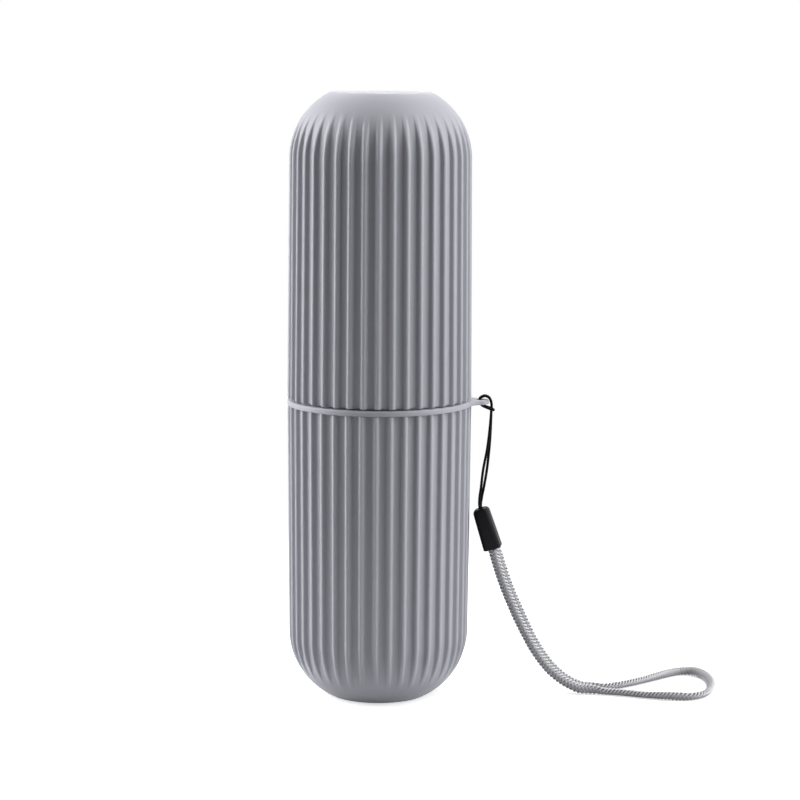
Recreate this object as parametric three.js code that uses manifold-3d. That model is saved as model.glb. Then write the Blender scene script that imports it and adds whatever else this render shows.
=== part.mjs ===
// A travel toothbrush case: a fluted cup, a fluted push-fit cap over the cup's neck, and a wrist lanyard
// hitched to an ear on the cup's flange. Millimetres, +Z up. The origin is the centre of the flat base,
// and +X points to the ear.
import * as THREE from 'three';
import { mergeVertices } from 'three/addons/utils/BufferGeometryUtils.js';
import Module from 'manifold-3d';

const wasm = await Module();
wasm.setup();

const degrees = Math.PI / 180;

// The case: overall size and the profile that both ends share
const caseHeight = 206;
const partingHeight = 102.65; // the visible line between cup and cap
const rimRadius = 31.35; // over the crests, at the parting
const draft = 0.4 * degrees; // both shells narrow towards their ends
const domeRadius = 25; // of the round between the wall and a flat end
const flatEndRadius = 17;
const rimRounding = 0.45;

// The flutes
const fluteCount = 40;
const fluteDepth = 1.3;
const crestWidth = 2;
const crestBow = 0.14; // the middle of a crest stands this far over its edges
const floorWidth = 2;
const floorBow = 0.1; // the middle of a groove's floor lies this far under its edges
const fadeStart = 6 * degrees; // on the dome, where a groove starts to get shallow
const fadeEnd = 42 * degrees; // on the dome, where a groove has run out
const capTurn = 1 * degrees; // the cap as it was pushed on, against the cup's flutes

// The walls and the push fit
const capWall = 1.1; // under a groove
const neckWall = 1.2;
const neckHeight = 14;
const neckLead = 0.8; // the chamfer that guides the cap on
const endWall = 2.2;
const boreRelief = 0.5; // the cap's bore tapers only above the neck, from this far over it
const fitGap = 0.3; // round the neck, and between the cap's rim and the flange

// The flange and its ear
const flangeHeight = 2.1;
const flangeRounding = 0.35;
const earOverhang = 5.95; // past the flange
const earWidth = 8;
const earFillet = 8; // between the ear's sides and the flange, seen from above
const eyeletRadius = 1.3;
const eyeletInset = 2.9; // from the ear's tip to the middle of the eyelet

// The lanyard. Its places have their X from the middle of the eyelet.
const stringDiameter = 0.85;
const knotRadius = 1.3;
const ferruleLength = 14.6;
const ferruleWidth = 6.2;
const ferruleDepth = 6.4;
const ferruleCorner = 1.5;
const ferruleRounding = 1.6; // of its top, along its length
const ferruleTopInset = 1; // of its top, across its length
const ferruleLeastFlat = 0.1; // between two rounded corners
const ferruleChamfer = 0.35; // round its mouth
const ferruleTaperShare = 0.865; // its size at the top, as a share of its size at the mouth
const ferruleWall = 0.5;
const ferruleCeiling = 9.8; // from the mouth to the ceiling that holds the knot
const stringBoreWidth = 1.9;
const stringBoreDepth = 2.7;
const knotSeatGap = 0.3; // between the knot and that ceiling
const ferrulePlace = new THREE.Vector3(4.92, 0, 50.7); // the middle of its mouth
const ferruleTilt = 17.9 * degrees; // from upright, the top towards the case
const ferruleTurn = 9 * degrees; // about its own length
const strapDiameter = 2.3;

// How finely round forms are divided, and how often the profile is refined
const profilePasses = 8;
const roundSteps = 72;
const smoothSteps = 80; // round a dome, past the flutes
const flangeSteps = 120;
const flutedRings = 4; // up a dome, to where the grooves have run out
const smoothRings = 2; // from there to the flat end
const innerRings = 5;
const roundingSteps = 4;
const earSteps = 6;
const eyeletSteps = 20;
const knotSteps = 12;
const cordSides = 8;
const stringSteps = 80;
const strapSteps = 78;

// The string, from the knot in the ferrule up to the ear, over its edge, down through the eyelet, round
// both standing strands, and back the same way beside itself
const stringRoute = [
  [2.4, -0.42, 58.4], [1.35, -0.48, 61.9], [0.15, -0.48, 65.15], [0.1, -0.52, 68.2],
  [0.55, -0.58, 71.8], [1.2, -0.6, 77.9], [2.45, -0.55, 84.8], [3.05, -0.52, 89.5], [3.5, -0.52, 94.3],
  [3.8, -0.52, 98.9], [3.85, -0.52, 100.5], [3.6, -0.52, 101.75], [3.05, -0.52, 102.8],
  [2.25, -0.52, 103.35], [1.45, -0.52, 103.5], [0.6, -0.52, 103.2], [-0.08, -0.52, 102.7],
  [-0.25, -0.52, 101.9], [0, -0.54, 101.1], [0.5, -0.62, 100.4], [1.3, -0.95, 99.95], [2.5, -1.3, 99.5],
  [3.7, -1.45, 99.05], [4.45, -1, 98.75], [4.72, 0, 98.6], [4.45, 1, 98.75], [3.7, 1.45, 99.05],
  [2.5, 1.3, 99.5], [1.3, 0.95, 99.95], [0.5, 0.62, 100.4], [0, 0.54, 101.1], [-0.25, 0.52, 101.9],
  [-0.08, 0.52, 102.7], [0.6, 0.52, 103.2], [1.45, 0.52, 103.5], [2.25, 0.52, 103.35],
  [3.05, 0.52, 102.8], [3.6, 0.52, 101.75], [3.85, 0.52, 100.5], [3.8, 0.52, 98.9], [3.7, 0.52, 94.3],
  [3.52, 0.52, 89.5], [3.2, 0.52, 84.8], [2.5, 0.5, 77.9], [1.53, 0.5, 71.8], [0.85, 0.48, 68.2],
  [0.57, 0.48, 65.2], [1.5, 0.48, 61.9], [2.55, 0.42, 58.4],
];

// The strap, from the ferrule down to the table, round its loop and back, lying at half its thickness
const strapRoute = [
  [3.6, -1.4, 54.95], [4.9, -1.4, 50.75], [5.6, -1.35, 48], [6.4, -1.3, 45.25], [8, -1.3, 40.4],
  [9.85, -1.3, 35.4], [11.35, -1.3, 31.9], [13.25, -1.3, 27.5], [15.2, -1.3, 23.55], [17.1, -1.3, 19.9],
  [19.1, -1.3, 16.3], [21.1, -1.3, 13.25], [23.2, -1.3, 10.5], [25.4, -1.3, 8.1], [28, -1.35, 5.9],
  [31.5, -1.45, 3.65], [36, -1.65, 1.9], [42.1, -2, 1.25], [47.6, -2.9, 1.2], [53.1, -4.6, 1.2],
  [58.6, -6.5, 1.2], [63.6, -8, 1.2], [68.2, -8.9, 1.2], [72.2, -8.7, 1.2], [75.8, -6.7, 1.2],
  [78.6, -3, 1.2], [80.5, 2.2, 1.2], [81.5, 8.2, 1.2], [81.5, 14.2, 1.2], [80.6, 19.8, 1.2],
  [78.5, 24.2, 1.2], [75.4, 26.6, 1.2], [71.8, 26.1, 1.2], [68.2, 23.4, 1.2], [64, 19.2, 1.2],
  [58.8, 14.1, 1.2], [53.6, 9.4, 1.2], [48.6, 5.7, 1.2], [43.8, 3.3, 1.3], [38.3, 2.1, 1.75],
  [33.6, 1.6, 3.2], [30.15, 1.4, 5.2], [26.9, 1.35, 7.9], [23.85, 1.3, 11.3], [20.4, 1.3, 16.4],
  [17.97, 1.3, 20.8], [15.68, 1.3, 25.7], [13.55, 1.3, 30.3], [12, 1.3, 33.7], [9.95, 1.3, 38.8],
  [8.15, 1.25, 44.1], [6.85, 1.2, 48], [5.85, 1.15, 50.95], [4.4, 1.15, 55.15],
];

// Sizes that follow from the ones above
const domeHeight = Math.sqrt(domeRadius ** 2 - (flatEndRadius - domeCentreRadius()) ** 2);
const domeSweep = Math.asin(domeHeight / domeRadius);
const capBore = rimRadius - fluteDepth - capWall;
const neckRadius = capBore - fitGap;
const earReach = rimRadius + earOverhang;
const eyeletReach = earReach - eyeletInset;
const mouthRadius = neckRadius - neckWall;
const flangeTop = partingHeight - fitGap / 2;
const flangeBottom = flangeTop - flangeHeight;
const capRim = flangeTop + fitGap;
const neckTop = partingHeight + neckHeight;

// The dome is tangent to the wall, whose radius there depends on the dome's height: both are solved together
function domeCentreRadius() {
  let height = domeRadius;
  for (let pass = 0; pass < profilePasses; pass += 1) {
    const centre = wallRadius(partingHeight - height) - domeRadius;
    height = Math.sqrt(domeRadius ** 2 - (flatEndRadius - centre) ** 2);
  }
  return wallRadius(partingHeight - height) - domeRadius;
}

// The crests' radius on the straight wall, this far from the parting
function wallRadius(distance) {
  return rimRadius - Math.tan(draft) * distance;
}

// The radius and height of the outer dome, or of the inner one where a wall is given, at an angle from its
// tangent point to the flat end. A height is counted from the flat end, inwards.
function domePoint(angle, wall = 0) {
  const centre = domeCentreRadius();
  const radius = domeRadius - wall;
  return { radius: centre + radius * Math.cos(angle), height: domeHeight - radius * Math.sin(angle) };
}

function smoothstep(value) {
  const share = THREE.MathUtils.clamp(value, 0, 1);
  return share * share * (3 - 2 * share);
}

// A ring of a loft: its points, and the share of a turn at which each of them stands
function circle(radius, height, steps = roundSteps) {
  const turns = Array.from({ length: steps }, (_, i) => i / steps);
  return { turns, points: turns.map((turn) => onCircle(turn, radius, height)) };
}

function onCircle(turn, radius, height) {
  const angle = turn * 2 * Math.PI;
  return new THREE.Vector3(radius * Math.cos(angle), radius * Math.sin(angle), height);
}

function tip(height) {
  return { turns: [0], points: [new THREE.Vector3(0, 0, height)] };
}

// A ring across the flutes. The depth share is 1 on the straight wall and 0 where the grooves have run out.
function flutedRing(radius, height, depthShare, crestLoss = 0) {
  const pitch = (2 * Math.PI * rimRadius) / fluteCount;
  const grooveRadius = radius - fluteDepth * depthShare;
  const crestRadius = Math.max(radius - crestLoss, grooveRadius);
  const section = [
    [-crestWidth / 2, crestRadius - crestBow * depthShare],
    [0, crestRadius],
    [crestWidth / 2, crestRadius - crestBow * depthShare],
    [(pitch - floorWidth) / 2, grooveRadius + floorBow * depthShare],
    [pitch / 2, grooveRadius],
    [(pitch + floorWidth) / 2, grooveRadius + floorBow * depthShare],
  ];
  const turns = [];
  const points = [];
  for (let flute = 0; flute < fluteCount; flute += 1) {
    for (const [across, reach] of section) {
      const turn = (flute + across / pitch) / fluteCount;
      turns.push(turn);
      points.push(onCircle(turn, reach, height));
    }
  }
  return { turns, points };
}

// Triangles between two rings, which may have different numbers of points
function stitch(lower, upper, faces) {
  const steps = (ring) => (ring.points.length === 1 ? 0 : ring.points.length);
  const turnAt = (ring, i) => ring.turns[i % ring.points.length] + Math.floor(i / ring.points.length);
  const at = (ring, i) => ring.first + (i % ring.points.length);
  let i = 0;
  let j = 0;
  while (i < steps(lower) || j < steps(upper)) {
    const onLower = j >= steps(upper)
      || (i < steps(lower) && turnAt(lower, i + 1) <= turnAt(upper, j + 1));
    if (onLower) {
      faces.push(at(lower, i), at(lower, i + 1), at(upper, j));
      i += 1;
    } else {
      faces.push(at(lower, i), at(upper, j + 1), at(upper, j));
      j += 1;
    }
  }
}

// A closed body through rings that run up its outside and down its inside
function loft(rings, closed = false) {
  const positions = [];
  for (const ring of rings) {
    ring.first = positions.length / 3;
    for (const point of ring.points) positions.push(point.x, point.y, point.z);
  }
  const faces = [];
  for (let i = 1; i < rings.length; i += 1) stitch(rings[i - 1], rings[i], faces);
  if (closed) stitch(rings[rings.length - 1], rings[0], faces);
  const geometry = new THREE.BufferGeometry();
  geometry.setAttribute('position', new THREE.Float32BufferAttribute(positions, 3));
  geometry.setIndex(faces);
  return geometry;
}

function toSolid(geometry) {
  const bare = geometry.clone();
  bare.deleteAttribute('normal');
  bare.deleteAttribute('uv');
  const merged = mergeVertices(bare);
  return new wasm.Manifold(new wasm.Mesh({
    numProp: 3,
    vertProperties: new Float32Array(merged.attributes.position.array),
    triVerts: new Uint32Array(merged.index.array),
  }));
}

function toGeometry(solid) {
  const mesh = solid.getMesh();
  const geometry = new THREE.BufferGeometry();
  geometry.setAttribute('position', new THREE.BufferAttribute(mesh.vertProperties, 3));
  geometry.setIndex(new THREE.BufferAttribute(mesh.triVerts, 1));
  return geometry;
}

function makePiece(name, geometry, { color, roughness, metalness = 0 }) {
  geometry.computeVertexNormals();
  const mesh = new THREE.Mesh(geometry, new THREE.MeshStandardMaterial({ color, roughness, metalness }));
  mesh.name = name;
  return mesh;
}

// The outside of a shell from its flat end to the last ring of its dome, the end down at height 0
function outerEndRings() {
  const rings = [tip(0)];
  for (let i = smoothRings; i >= 0; i -= 1) {
    const { radius, height } = domePoint(THREE.MathUtils.lerp(fadeEnd, domeSweep, i / smoothRings));
    rings.push(circle(radius, height, smoothSteps));
  }
  for (let i = flutedRings - 1; i >= 0; i -= 1) {
    const angle = (fadeEnd * i) / flutedRings;
    const { radius, height } = domePoint(angle);
    const fade = smoothstep((angle - fadeStart) / (fadeEnd - fadeStart));
    rings.push(flutedRing(radius, height, 1 - fade));
  }
  return rings;
}

// The inside of a shell from its wall to its flat end, for the wall that it has where the dome starts
function innerEndRings(wall) {
  const rings = [];
  for (let i = 0; i <= innerRings; i += 1) {
    const share = i / innerRings;
    const { radius, height } = domePoint(domeSweep * share, THREE.MathUtils.lerp(wall, endWall, share));
    rings.push(circle(radius, height));
  }
  rings.push(tip(rings[rings.length - 1].points[0].z));
  return rings;
}

// The flange seen from above, as a ring: a circle, with the ear and its fillets on +X
function flangeRing(height) {
  const half = earWidth / 2;
  const tipCentre = earReach - half;
  const filletReach = rimRadius + earFillet;
  const filletX = (filletReach ** 2 - (half + earFillet) ** 2 + tipCentre ** 2) / (2 * tipCentre);
  const filletY = Math.sqrt(filletReach ** 2 - filletX ** 2);
  const tipEnd = Math.atan2(filletY, filletX - tipCentre);
  const outline = [];
  for (let i = 0; i <= earSteps; i += 1) {
    const angle = (tipEnd * i) / earSteps;
    outline.push([tipCentre + half * Math.cos(angle), half * Math.sin(angle)]);
  }
  const towardsAxis = Math.atan2(filletY, filletX) + Math.PI;
  for (let i = 1; i <= earSteps; i += 1) {
    const angle = THREE.MathUtils.lerp(tipEnd + Math.PI, towardsAxis, i / earSteps);
    outline.push([filletX + earFillet * Math.cos(angle), filletY + earFillet * Math.sin(angle)]);
  }
  const earEnd = Math.atan2(filletY, filletX) / (2 * Math.PI);
  const steps = flangeSteps - 2 * Math.round(flangeSteps * earEnd);
  for (let i = 1; i < steps; i += 1) {
    const angle = THREE.MathUtils.lerp(earEnd, 1 - earEnd, i / steps) * 2 * Math.PI;
    outline.push([rimRadius * Math.cos(angle), rimRadius * Math.sin(angle)]);
  }
  for (let i = 2 * earSteps; i >= 1; i -= 1) outline.push([outline[i][0], -outline[i][1]]);
  return {
    turns: outline.map(([x, y]) => (Math.atan2(y, x) / (2 * Math.PI) + 1) % 1),
    points: outline.map(([x, y]) => new THREE.Vector3(x, y, height)),
  };
}

function eyeletGeometry() {
  const hole = new THREE.CylinderGeometry(eyeletRadius, eyeletRadius, 2 * flangeHeight, eyeletSteps);
  hole.rotateX(90 * degrees);
  hole.translate(eyeletReach, 0, (flangeTop + flangeBottom) / 2);
  return hole;
}

function cupGeometry() {
  const shell = loft([
    ...outerEndRings(),
    flutedRing(wallRadius(partingHeight - flangeBottom), flangeBottom, 1),
    flangeRing(flangeBottom + flangeRounding),
    flangeRing(flangeTop - flangeRounding),
    circle(rimRadius - flangeRounding, flangeTop, flangeSteps),
    circle(neckRadius, flangeTop),
    circle(neckRadius, neckTop - neckLead),
    circle(neckRadius - neckLead / 2, neckTop),
    circle(mouthRadius, neckTop),
    circle(mouthRadius, flangeBottom),
    ...innerEndRings(rimRadius - mouthRadius),
  ]);
  return toGeometry(toSolid(shell).subtract(toSolid(eyeletGeometry())));
}

function capGeometry() {
  const rim = capRim - partingHeight;
  const boreEnd = neckHeight + boreRelief;
  const up = (ring) => ({
    turns: ring.turns,
    points: ring.points.map(({ x, y, z }) => new THREE.Vector3(x, y, caseHeight - z)),
  });
  const rings = [
    ...innerEndRings(fluteDepth + capWall).reverse().map(up),
    circle(capBore, partingHeight + boreEnd),
    circle(capBore, capRim),
    flutedRing(wallRadius(rim), capRim, 1, rimRounding),
    flutedRing(wallRadius(rim + rimRounding), capRim + rimRounding, 1),
    ...outerEndRings().reverse().map(up),
  ];
  return loft(rings);
}

// A rounded rectangle round the ferrule's length, as a ring of a loft
function sleeveRing(width, depth, corner, height) {
  const round = Math.min(corner, (Math.min(width, depth) - ferruleLeastFlat) / 2);
  const turns = [];
  const points = [];
  for (let quarter = 0; quarter < 4; quarter += 1) {
    for (let i = 0; i <= roundingSteps; i += 1) {
      const angle = ((quarter + i / roundingSteps) * Math.PI) / 2;
      const sideX = quarter === 0 || quarter === 3 ? 1 : -1;
      const sideY = quarter < 2 ? 1 : -1;
      const x = sideX * (width / 2 - round) + round * Math.cos(angle);
      const y = sideY * (depth / 2 - round) + round * Math.sin(angle);
      turns.push((quarter + (i + 0.5) / (roundingSteps + 1)) / 4);
      points.push(new THREE.Vector3(x, y, height));
    }
  }
  return { turns, points };
}

function ferruleGeometry() {
  const taper = (height) => THREE.MathUtils.lerp(1, ferruleTaperShare, height / ferruleLength);
  const outer = (height, inset) => sleeveRing(
    ferruleWidth * taper(height) - 2 * inset,
    ferruleDepth * taper(height) - 2 * inset,
    ferruleCorner,
    height,
  );
  const inner = (height) => sleeveRing(
    ferruleWidth * taper(height) - 2 * ferruleWall,
    ferruleDepth * taper(height) - 2 * ferruleWall,
    ferruleCorner - ferruleWall,
    height,
  );
  const rings = [outer(0, ferruleChamfer), outer(ferruleChamfer, 0)];
  for (let i = 0; i <= roundingSteps; i += 1) {
    const angle = ((i / roundingSteps) * Math.PI) / 2;
    const height = ferruleLength - ferruleRounding * (1 - Math.sin(angle));
    rings.push(outer(height, ferruleTopInset * (1 - Math.cos(angle))));
  }
  const bore = (height) => sleeveRing(stringBoreWidth, stringBoreDepth, stringBoreWidth / 2, height);
  rings.push(bore(ferruleLength), bore(ferruleCeiling), inner(ferruleCeiling), inner(0));
  return loft(rings, true);
}

function cordSection(diameter) {
  const section = new THREE.Shape();
  for (let side = 0; side < cordSides; side += 1) {
    const angle = (side / cordSides) * 2 * Math.PI;
    const x = (diameter / 2) * Math.cos(angle);
    const y = (diameter / 2) * Math.sin(angle);
    if (side === 0) section.moveTo(x, y);
    else section.lineTo(x, y);
  }
  section.closePath();
  return section;
}

function cordGeometry(route, diameter, steps) {
  const path = new THREE.CatmullRomCurve3(route.map((point) => new THREE.Vector3(...point)));
  return new THREE.ExtrudeGeometry(cordSection(diameter), { steps, extrudePath: path, bevelEnabled: false });
}

// The string with the knot that its two ends share
function stringGeometry() {
  const loop = toSolid(cordGeometry(stringRoute, stringDiameter, stringSteps));
  const knot = new THREE.SphereGeometry(knotRadius, knotSteps, knotSteps / 2);
  knot.rotateX(90 * degrees);
  knot.translate(0, 0, ferruleCeiling - knotSeatGap - knotRadius);
  knot.applyMatrix4(ferruleMatrix());
  return toGeometry(loop.add(toSolid(knot)));
}

function ferruleMatrix() {
  const turned = new THREE.Quaternion().setFromEuler(new THREE.Euler(0, -ferruleTilt, -ferruleTurn));
  return new THREE.Matrix4().compose(ferrulePlace, turned, new THREE.Vector3(1, 1, 1));
}

const greyPlastic = { color: 0xa9a9b2, roughness: 0.5 };
const blackPlastic = { color: 0x1b1b1f, roughness: 0.38 };
const blackString = { color: 0x0c0c0e, roughness: 0.85 };
const greyBraid = { color: 0xa8a8ac, roughness: 0.85 };

const toothbrushCase = new THREE.Group();

const cup = makePiece('cup', cupGeometry(), greyPlastic);
toothbrushCase.add(cup);

const cap = makePiece('cap', capGeometry(), greyPlastic);
cap.rotation.z = capTurn;
toothbrushCase.add(cap);

const lanyard = new THREE.Group();
lanyard.position.x = eyeletReach;
lanyard.add(makePiece('lanyard_string', stringGeometry(), blackString));
const ferrule = makePiece('lanyard_ferrule', ferruleGeometry(), blackPlastic);
ferrule.applyMatrix4(ferruleMatrix());
lanyard.add(ferrule);
lanyard.add(makePiece('wrist_strap', cordGeometry(strapRoute, strapDiameter, strapSteps), greyBraid));
toothbrushCase.add(lanyard);

export default toothbrushCase;
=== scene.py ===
import math

import bmesh
import bpy
import numpy as np
from mathutils import Matrix, Vector


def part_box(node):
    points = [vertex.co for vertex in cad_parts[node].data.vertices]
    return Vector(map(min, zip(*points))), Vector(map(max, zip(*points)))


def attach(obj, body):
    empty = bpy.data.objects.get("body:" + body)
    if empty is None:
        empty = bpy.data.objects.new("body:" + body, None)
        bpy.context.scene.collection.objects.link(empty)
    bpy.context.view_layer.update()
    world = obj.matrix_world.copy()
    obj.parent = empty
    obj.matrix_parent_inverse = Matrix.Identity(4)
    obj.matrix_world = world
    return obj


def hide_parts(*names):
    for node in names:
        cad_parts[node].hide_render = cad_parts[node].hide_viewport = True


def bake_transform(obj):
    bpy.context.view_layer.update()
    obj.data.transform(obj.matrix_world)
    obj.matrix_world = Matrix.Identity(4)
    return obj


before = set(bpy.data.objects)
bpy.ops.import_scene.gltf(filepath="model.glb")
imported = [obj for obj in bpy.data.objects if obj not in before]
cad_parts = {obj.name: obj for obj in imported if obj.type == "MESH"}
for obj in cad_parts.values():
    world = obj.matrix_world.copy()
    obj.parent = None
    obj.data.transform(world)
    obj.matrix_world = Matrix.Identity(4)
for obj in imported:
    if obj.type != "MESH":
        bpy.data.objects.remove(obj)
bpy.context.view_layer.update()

# The looks of a travel toothbrush case: a fluted cup and cap of grey plastic, and a wrist lanyard hitched to
# an ear on the cup's flange. Metres, +Z up, the origin in the middle of the flat base, +X towards the ear.

# Camera: its eye is turned about the case's axis, towards the ear
CAMERA_DISTANCE = 0.8575
CAMERA_HEIGHT = 0.2236
CAMERA_SIDE = math.radians(2)
CAMERA_HEADING = math.radians(1.53)
CAMERA_PITCH = math.radians(8.09)
CAMERA_ROLL = math.radians(0.36)
CAMERA_LENS = 114.3  # mm
CAMERA_SENSOR = 36  # mm

# Case
CASE_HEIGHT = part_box("cap")[1].z
CAP_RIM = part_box("cap")[0].z
NECK_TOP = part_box("cup")[1].z
EAR_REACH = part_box("cup")[1].x
RIM_RADIUS = 0.03135
DRAFT = math.radians(0.4)  # both shells narrow towards their flat ends
PARTING = 0.10265  # height at which cap and flange meet
DOME_RADIUS = 0.025
FLAT_END_RADIUS = 0.017
END_WALL = 0.0022  # in the middle of the flat ends
CAP_BORE = 0.02895
NECK_RADIUS = 0.02865
MOUTH_RADIUS = 0.02745
NECK_LEAD = 0.0008  # height of the taper that leads the neck into the cap
BORE_RELIEF = 0.0005  # of the cap's bore over the neck
MOUTH_ROUNDING = 0.0003
CAP_TURN = math.radians(1)  # of the cap's ribs against the cup's

# Flutes
FLUTE_COUNT = 40
FLUTE_PITCH = 2 * math.pi * RIM_RADIUS / FLUTE_COUNT
FLUTE_DEPTH = 0.00146
CREST_RADIUS = 0.00091
CREST_SLOPE = math.radians(55)  # at which the crest's round gives way to the tighter one of its shoulder
SHOULDER_RADIUS = 0.00017
WALL_SLOPE = math.radians(62)
ROOT_RADIUS = 0.00048
FLOOR_BOW = 0.00008  # by which the floor of a groove is hollow
FADE_START = math.radians(6)  # up a dome, where its grooves begin to grow shallow
FADE_END = math.radians(42)  # and where they are gone
RIM_ROUNDING = 0.00018
RIB_END_ROUNDING = 0.00035  # where the cup's ribs end under the flange
NECK_ROOT_ROUNDING = 0.00025

# Flange and ear
FLANGE_TOP = 0.10224  # a little under the solid's, for the width of the dark gap under the cap
FLANGE_BOTTOM = 0.1004
FLANGE_LOWER_ROUNDING = 0.0002
FLANGE_UPPER_ROUNDING = 0.00055
EAR_WIDTH = 0.008
EAR_FILLET = 0.008
EAR_RISE = 0.0004  # of the ear's underside over the flange's
EAR_BLEND = 0.0014  # over which the flange thins to the ear
EYELET_RADIUS = 0.00122
EYELET_INSET = 0.0029  # from the ear's tip to the middle of the eyelet
EYELET_ROUNDING = 0.00015
EYELET_REACH = EAR_REACH - EYELET_INSET

# Lanyard: routes and places have their X from the middle of the eyelet
STRING_DIAMETER = 0.00096
STRING_PLIES = 3
STRING_LAY = 0.0022  # one turn of the plies
STRING_GROOVE = 0.14  # depth between two plies, as a share of the radius
FERRULE_PLACE = (0.00492, 0, 0.0507)
FERRULE_TILT = math.radians(17.9)
FERRULE_TURN = math.radians(9)
FERRULE_LENGTH = 0.0146
FERRULE_WIDTH = 0.0062
FERRULE_DEPTH = 0.0064
FERRULE_TAPER = 0.865  # size of its top as a share of its foot's
FERRULE_CORNER = 0.0015
FERRULE_ROUNDING = 0.0016
FERRULE_TOP_INSET = 0.001
FERRULE_LEAST_FLAT = 0.0001  # between two of its rounded corners
FERRULE_CHAMFER = 0.00035
FERRULE_CHAMFER_KNEE = FERRULE_CHAMFER / 3  # inset and height at which its two facets meet
FERRULE_WALL = 0.0005
FERRULE_CEILING = 0.0098  # where the strap's wide bore ends and the string's bore begins
STRING_BORE = (0.0019, 0.0027)
KNOT_RADIUS = 0.0012
KNOT_WINDINGS = 3
KNOT_DROP = 0.0016  # of its middle under the ceiling
STRAP_WIDTH = 0.0036
STRAP_THICKNESS = 0.0023
STRAP_SETTLING = (0.0012, 0.0022)  # heights of its route between which it comes to rest on the table
STRAP_LEANS_OVER = (0.037, 0.045)  # from the eyelet: over this reach it leans over to the front
STRAP_LEAN = math.radians(57)
STRAP_STANDS_UP = (0.056, 0.068)  # over this reach it stands up again
STRAP_LOOP_LEAN = math.radians(24)  # what is left of its lean to the front there
STRAP_TURN_LEAN = math.radians(45)  # outwards, in the loop's turn
YARN_COUNT = 8
WEAVE_REPEAT = 4  # crossings in which a yarn goes over two others and under two
YARN_LAY = 0.0052  # one turn of a yarn
YARN_WIDTH = (0.00054, 0.00104)  # where it turns round the strap's narrow side, and across its flat face
YARN_THICKNESS = (0.00056, 0.00034)
YARN_WEAVE = (0.00028, 0.0001)  # rise and fall at the crossings
YARN_STEP = 0.00015
CORE_RISE = 0.00002  # of the near-black core, painted shade in the gaps between the yarns, over the yarns' middle

STRING_ROUTE = [
    (0.0024, -0.00042, 0.0584), (0.00135, -0.00048, 0.0619), (0.00015, -0.00048, 0.06515),
    (0.0001, -0.00052, 0.0682), (0.00055, -0.00058, 0.0718), (0.0012, -0.0006, 0.0779),
    (0.00245, -0.00055, 0.0848), (0.00305, -0.00052, 0.0895), (0.0035, -0.00052, 0.0943),
    (0.0038, -0.00052, 0.0989), (0.00385, -0.00052, 0.1005), (0.0036, -0.00052, 0.10175),
    (0.00305, -0.00052, 0.1028), (0.00225, -0.00052, 0.10335), (0.00145, -0.00052, 0.1035),
    (0.0006, -0.00052, 0.1032), (-0.00008, -0.00052, 0.1027), (-0.00025, -0.00052, 0.1019),
    (0, -0.00054, 0.1011), (0.0005, -0.00062, 0.1004), (0.0013, -0.00095, 0.09995),
    (0.0025, -0.0013, 0.0995), (0.0037, -0.00145, 0.09905), (0.0043, -0.001, 0.0988),
    (0.00455, 0, 0.09868), (0.0043, 0.001, 0.0988), (0.0037, 0.00145, 0.09905),
    (0.0025, 0.0013, 0.0995), (0.0013, 0.00095, 0.09995), (0.0005, 0.00062, 0.1004),
    (0, 0.00054, 0.1011), (-0.00025, 0.00052, 0.1019), (-0.00008, 0.00052, 0.1027),
    (0.0006, 0.00052, 0.1032), (0.00145, 0.00052, 0.1035), (0.00225, 0.00052, 0.10335),
    (0.00305, 0.00052, 0.1028), (0.0036, 0.00052, 0.10175), (0.00385, 0.00052, 0.1005),
    (0.0038, 0.00052, 0.0989), (0.0037, 0.00052, 0.0943), (0.00352, 0.00052, 0.0895),
    (0.0032, 0.00052, 0.0848), (0.0025, 0.0005, 0.0779), (0.00153, 0.0005, 0.0718),
    (0.00085, 0.00048, 0.0682), (0.00057, 0.00048, 0.0652), (0.0015, 0.00048, 0.0619),
    (0.00255, 0.00042, 0.0584),
]
STRAP_ROUTE = [
    (0.0036, -0.0014, 0.05495), (0.0049, -0.0014, 0.05075), (0.0056, -0.00135, 0.048),
    (0.0064, -0.0013, 0.04525), (0.008, -0.0013, 0.0404), (0.00985, -0.0013, 0.0354),
    (0.01135, -0.0013, 0.0319), (0.01325, -0.0013, 0.0275), (0.0152, -0.0013, 0.02355),
    (0.0171, -0.0013, 0.0199), (0.0191, -0.0013, 0.0163), (0.0211, -0.0013, 0.01325),
    (0.0232, -0.0013, 0.0105), (0.0254, -0.0013, 0.0081), (0.028, -0.00135, 0.0059),
    (0.0315, -0.00145, 0.00365), (0.036, -0.00165, 0.0019), (0.0421, -0.002, 0.00125),
    (0.0476, -0.0029, 0.0012), (0.0531, -0.0046, 0.0012), (0.0586, -0.0065, 0.0012),
    (0.0636, -0.008, 0.0012), (0.0682, -0.0089, 0.0012), (0.0722, -0.0087, 0.0012),
    (0.0758, -0.0067, 0.0012), (0.0786, -0.003, 0.0012), (0.0805, 0.0022, 0.0012),
    (0.0815, 0.0082, 0.0012), (0.0815, 0.0142, 0.0012), (0.0806, 0.0198, 0.0012),
    (0.0785, 0.0242, 0.0012), (0.0754, 0.0266, 0.0012), (0.0718, 0.0261, 0.0012),
    (0.0682, 0.0234, 0.0012), (0.064, 0.0192, 0.0012), (0.0588, 0.0141, 0.0012),
    (0.0536, 0.0094, 0.0012), (0.0486, 0.0057, 0.0012), (0.0438, 0.0033, 0.0013),
    (0.0383, 0.0021, 0.00175), (0.0336, 0.0016, 0.0032), (0.03015, 0.0014, 0.0052),
    (0.0269, 0.00135, 0.0079), (0.02385, 0.0013, 0.0113), (0.0204, 0.0013, 0.0164),
    (0.01797, 0.0013, 0.0208), (0.01568, 0.0013, 0.0257), (0.01355, 0.0013, 0.0303),
    (0.012, 0.0013, 0.0337), (0.00995, 0.0013, 0.0388), (0.00815, 0.00125, 0.0441),
    (0.00685, 0.0012, 0.048), (0.00585, 0.00115, 0.05095), (0.0044, 0.00115, 0.05515),
]

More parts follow.
